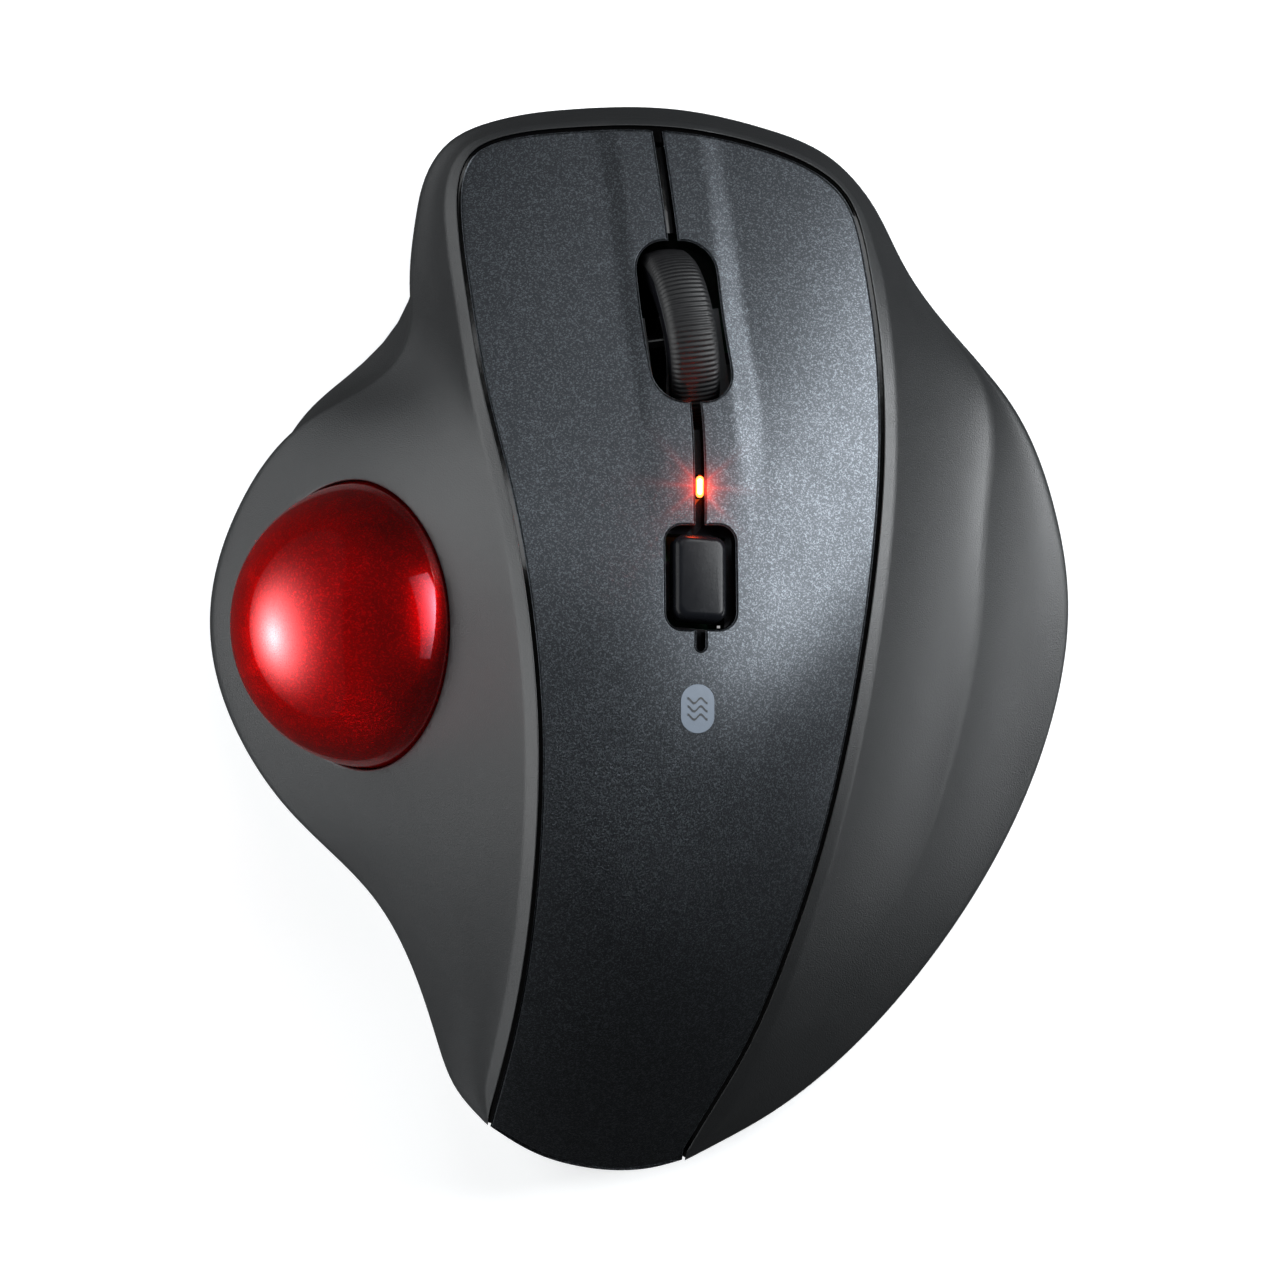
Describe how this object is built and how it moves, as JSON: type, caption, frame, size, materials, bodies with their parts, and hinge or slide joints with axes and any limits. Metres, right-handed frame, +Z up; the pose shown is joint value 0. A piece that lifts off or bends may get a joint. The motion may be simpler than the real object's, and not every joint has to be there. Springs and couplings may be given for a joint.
{
  "type": "trackball mouse",
  "caption": "Right-handed wireless mouse with a thumb-operated trackball, scroll wheel, wide click keys, mode button and replaceable cell.",
  "frame": {"origin": "on the desk, under the middle of the mouse's outline", "axes": "+Y to the front, away from the user; +X to the right; +Z up from the desk"},
  "size_m": [0.1024, 0.1262, 0.048],
  "materials": {
    "soft_grey": "soft-touch matte",
    "panel_grey": "dark metallic satin paint",
    "gloss_black": "gloss",
    "base_black": "fine texture",
    "ball_red": "metallic flake under clear coat",
    "tyre_rubber": "fine ribs",
    "inner_plastic": "moulded",
    "board_green": "solder mask over glass fibre",
    "chip_black": "moulded resin",
    "steel": "plated",
    "ceramic_white": "polished",
    "lens_clear": "clear",
    "led_red": "diffusing light guide",
    "plunger_white": "moulded",
    "pad_grey": "low-friction pad",
    "cell_sleeve": "printed sleeve without text",
    "lead_red": "insulation",
    "lead_black": "insulation",
    "flex_amber": "polyimide film"
  },
  "bodies": {
    "case": {"side_housing": "soft_grey", "left_switch": "chip_black", "right_switch": "chip_black", "palm_cover": "panel_grey", "base_plate": "base_black", "foot_front": "pad_grey", "foot_rear": "pad_grey", "foot_left": "pad_grey", "foot_right": "pad_grey", "screw_front_left": "steel", "screw_front_right": "steel", "screw_rear_right": "steel", "screw_rear_left": "steel", "screw_left": "steel", "power_switch": "chip_black", "pairing_switch": "chip_black", "ball_cup": "base_black", "bearing_ball_1": "ceramic_white", "bearing_ball_2": "ceramic_white", "bearing_ball_3": "ceramic_white", "sensor_lens": "lens_clear", "sensor_chip": "chip_black", "sensor_board": "board_green", "main_board": "board_green", "radio_chip": "chip_black", "controller_chip": "chip_black", "board_screw_left": "steel", "board_screw_right": "steel", "wheel_spring": "steel", "middle_switch": "chip_black", "mode_switch": "chip_black", "upper_board": "board_green", "board_riser": "inner_plastic", "spine_trim": "gloss_black", "front_trim": "gloss_black", "led_lens": "led_red", "status_led": "ceramic_white", "battery": "cell_sleeve", "battery_contact": "steel", "battery_spring": "steel", "lead_positive": "lead_red", "lead_negative": "lead_black", "sensor_cable": "flex_amber"},
    "left_key": {"left_button": "panel_grey"},
    "right_key": {"right_button": "panel_grey"},
    "left_plunger": {"left_switch_plunger": "plunger_white"},
    "right_plunger": {"right_switch_plunger": "plunger_white"},
    "ball": {"trackball": "ball_red"},
    "wheel_carriage": {"wheel_fork": "inner_plastic", "scroll_encoder": "board_green"},
    "wheel": {"scroll_tyre": "tyre_rubber", "scroll_hub": "gloss_black"},
    "middle_plunger": {"middle_switch_plunger": "plunger_white"},
    "mode_key": {"mode_button": "gloss_black"},
    "mode_plunger": {"mode_switch_plunger": "plunger_white"},
    "power_slider": {"power_knob": "inner_plastic"},
    "pairing_key": {"pairing_button": "inner_plastic"},
    "battery_lid": {"battery_door": "base_black"}
  },
  "joints": [
    {"name": "left_key_press", "type": "hinge", "parent": "case", "child": "left_key", "pos_m": [0, -0.003, 0.04], "axis": [-1, 0, 0], "range_deg": [0, 0.7], "stiffness_Nm_per_rad": 1, "springref_deg": -1.15},
    {"name": "right_key_press", "type": "hinge", "parent": "case", "child": "right_key", "pos_m": [0, -0.003, 0.04], "axis": [-1, 0, 0], "range_deg": [0, 0.7], "stiffness_Nm_per_rad": 1, "springref_deg": -1.15},
    {"name": "left_switch_press", "type": "slide", "parent": "case", "child": "left_plunger", "axis": [0, 0, -1], "range_m": [0, 0.0007]},
    {"name": "right_switch_press", "type": "slide", "parent": "case", "child": "right_plunger", "axis": [0, 0, -1], "range_m": [0, 0.0007]},
    {"name": "ball_roll", "type": "hinge", "parent": "case", "child": "ball", "pos_m": [-0.0313, 0.0019, 0.023], "axis": [0.7106, 0, 0.7036], "continuous": true},
    {"name": "wheel_press", "type": "slide", "parent": "case", "child": "wheel_carriage", "axis": [0, 0, -1], "range_m": [0, 0.0005], "stiffness_N_per_m": 1500, "springref_m": -0.0005, "deforming": ["wheel_spring"]},
    {"name": "wheel_roll", "type": "hinge", "parent": "wheel_carriage", "child": "wheel", "pos_m": [0.00399, 0.03507, 0.02433], "axis": [0.9643, 0.1361, -0.2271], "continuous": true},
    {"name": "middle_switch_press", "type": "slide", "parent": "case", "child": "middle_plunger", "axis": [0, 0, -1], "range_m": [0, 0.0005]},
    {"name": "mode_press", "type": "slide", "parent": "case", "child": "mode_key", "axis": [-0.3185, -0.2315, -0.9192], "range_m": [0, 0.0004], "stiffness_N_per_m": 1200, "springref_m": -0.0005},
    {"name": "mode_switch_press", "type": "slide", "parent": "case", "child": "mode_plunger", "axis": [-0.3185, -0.2315, -0.9192], "range_m": [0, 0.0004]},
    {"name": "power_slide", "type": "slide", "parent": "case", "child": "power_slider", "axis": [0, 1, 0], "range_m": [0, 0.0036]},
    {"name": "pairing_press", "type": "slide", "parent": "case", "child": "pairing_key", "axis": [0, 0, 1], "range_m": [0, 0.0004], "stiffness_N_per_m": 600, "springref_m": -0.0005},
    {"name": "battery_door_off", "type": "slide", "parent": "case", "child": "battery_lid", "axis": [0, 0, -1], "range_m": [0, 0.015]}
  ],
  "couplings": [
    {"joint": "left_switch_press", "follows": "left_key_press", "m_per_rad": 0.049},
    {"joint": "right_switch_press", "follows": "right_key_press", "m_per_rad": 0.047},
    {"joint": "middle_switch_press", "follows": "wheel_press", "ratio": 1},
    {"joint": "mode_switch_press", "follows": "mode_press", "ratio": 1}
  ]
}
